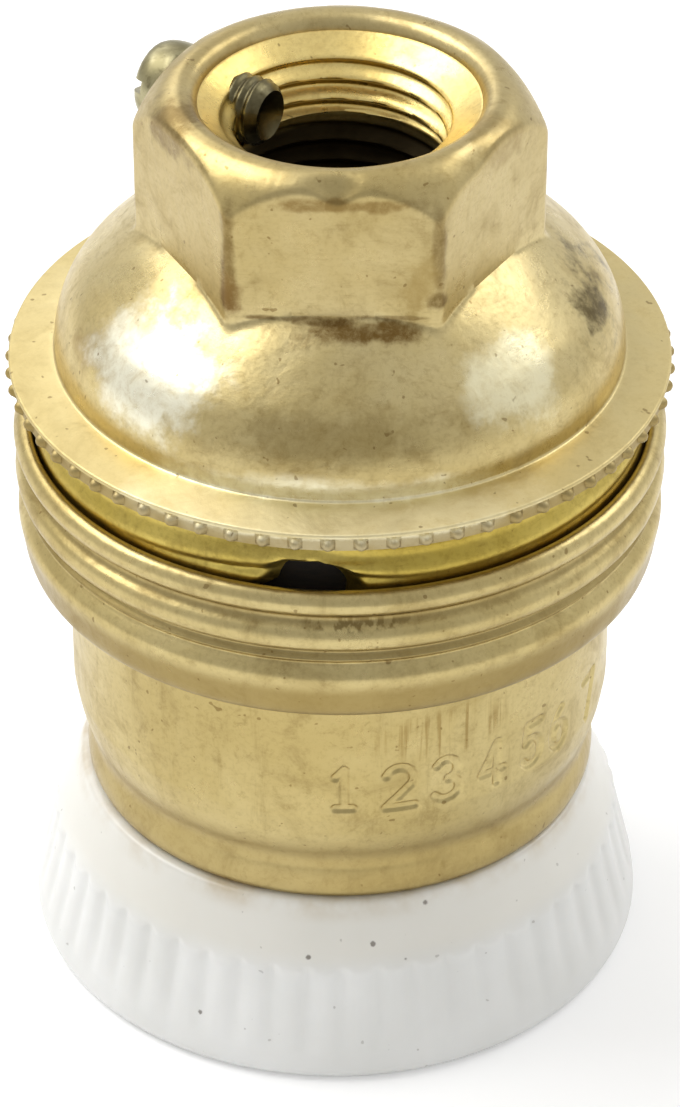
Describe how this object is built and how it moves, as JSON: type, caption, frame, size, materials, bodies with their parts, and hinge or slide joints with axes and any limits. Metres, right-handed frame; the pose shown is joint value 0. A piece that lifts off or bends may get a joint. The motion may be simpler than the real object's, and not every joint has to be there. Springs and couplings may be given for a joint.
{
  "type": "lamp holder",
  "caption": "Small Edison screw lamp holder in brass with a hexagonal threaded entry, a screw-on ridged barrel and a fluted porcelain ring.",
  "frame": {"origin": "on the holder's axis, level with the porcelain ring's lower edge, which it stands on", "axes": "+Z along the axis towards the threaded entry, -Y to the hexagonal neck's front flat; the lamp screws in along +Z from below"},
  "size_m": [0.029, 0.029, 0.0429],
  "materials": {
    "cap_brass": "pressed sheet brass, satin, lightly tarnished",
    "barrel_brass": "pressed and rolled sheet brass, satin, tarnished in patches",
    "bush_brass": "turned brass, bright thread",
    "contact_brass": "rolled brass sheet, bright",
    "spring_brass": "hard rolled spring brass strip",
    "terminal_brass": "extruded brass, sawn ends",
    "screw_plated": "steel with yellow passivated zinc plate",
    "glazed_porcelain": "white glaze with a few iron specks",
    "plain_porcelain": "unglazed electrical porcelain",
    "pressboard": "brown insulating pressboard"
  },
  "bodies": {
    "cap": {"cap_shell": "cap_brass", "threaded_bush": "bush_brass"},
    "set_screw": {"set_screw": "screw_plated"},
    "core": {"porcelain_core": "plain_porcelain", "lamp_thread_shell": "contact_brass", "contact_leaf": "spring_brass", "live_terminal": "terminal_brass", "neutral_terminal": "terminal_brass", "leaf_fixing_screw": "screw_plated", "shell_fixing_screw": "screw_plated", "insulating_liner": "pressboard"},
    "live_screw": {"live_terminal_screw": "screw_plated"},
    "neutral_screw": {"neutral_terminal_screw": "screw_plated"},
    "contact": {"centre_contact": "contact_brass"},
    "barrel": {"barrel": "barrel_brass"},
    "ring": {"porcelain_ring": "glazed_porcelain"}
  },
  "joints": [
    {"name": "core_lower", "type": "slide", "parent": "cap", "child": "core", "axis": [0, 0, -1], "range_m": [0, 0.003]},
    {"name": "barrel_turn", "type": "hinge", "parent": "core", "child": "barrel", "pos_m": [0, 0, 0.02], "axis": [0, 0, -1], "range_deg": [0, 540.5]},
    {"name": "ring_turn", "type": "hinge", "parent": "barrel", "child": "ring", "pos_m": [-0.0002, 0, 0.005], "axis": [0, 0, 1], "continuous": true},
    {"name": "set_screw_move", "type": "slide", "parent": "cap", "child": "set_screw", "axis": [-0.866, 0.5, 0], "range_m": [0, 0.002]},
    {"name": "live_screw_move", "type": "slide", "parent": "core", "child": "live_screw", "axis": [1, 0, 0], "range_m": [-0.0008, 0.0011]},
    {"name": "neutral_screw_move", "type": "slide", "parent": "core", "child": "neutral_screw", "axis": [-1, 0, 0], "range_m": [-0.0008, 0.0011]},
    {"name": "contact_press", "type": "slide", "parent": "core", "child": "contact", "axis": [0, 0, 1], "range_m": [0, 0.0012], "stiffness_N_per_m": 2500, "deforming": ["contact_leaf"]}
  ],
  "couplings": [
    {"joint": "barrel_turn", "follows": "core_lower", "rad_per_m": 3141.6}
  ]
}
